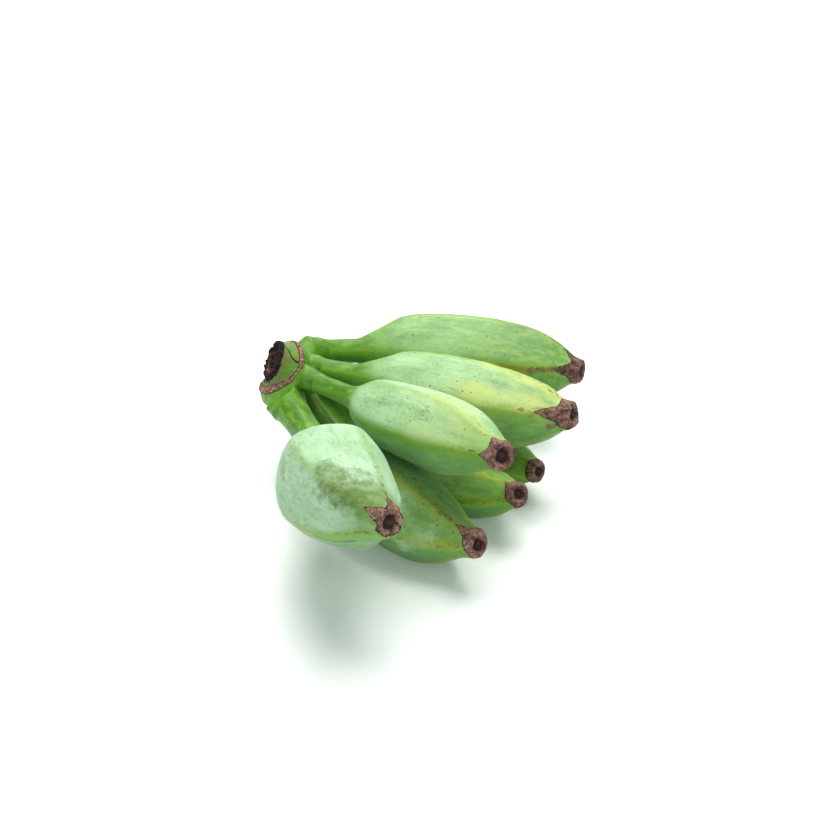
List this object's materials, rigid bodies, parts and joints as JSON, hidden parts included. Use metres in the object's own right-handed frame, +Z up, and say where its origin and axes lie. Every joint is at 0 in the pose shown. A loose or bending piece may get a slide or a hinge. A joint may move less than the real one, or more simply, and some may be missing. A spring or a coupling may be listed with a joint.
{
  "type": "hand of plantains",
  "caption": "Hand of green plantains lying on its lower row: plump angular fingers with corky brown tips, on short stalks that join in one cut crown.",
  "frame": {"origin": "middle of the box's underside, on the surface that the hand lies on", "axes": "+X from the crown towards the blossom ends, +Y towards the far side of the hand, +Z up"},
  "size_m": [0.1687, 0.2227, 0.0815],
  "materials": {
    "peel": "unripe green peel with a pale waxy bloom, corky brown at the blossom ends",
    "crown": "smooth green stem tissue with a brown scar ring and a dried dark cut end"
  },
  "bodies": {
    "root": {"crown": "crown", "finger_upper_1": "peel", "finger_upper_2": "peel", "finger_upper_3": "peel", "finger_upper_4": "peel", "finger_lower_1": "peel", "finger_lower_2": "peel", "finger_lower_3": "peel"}
  },
  "joints": []
}
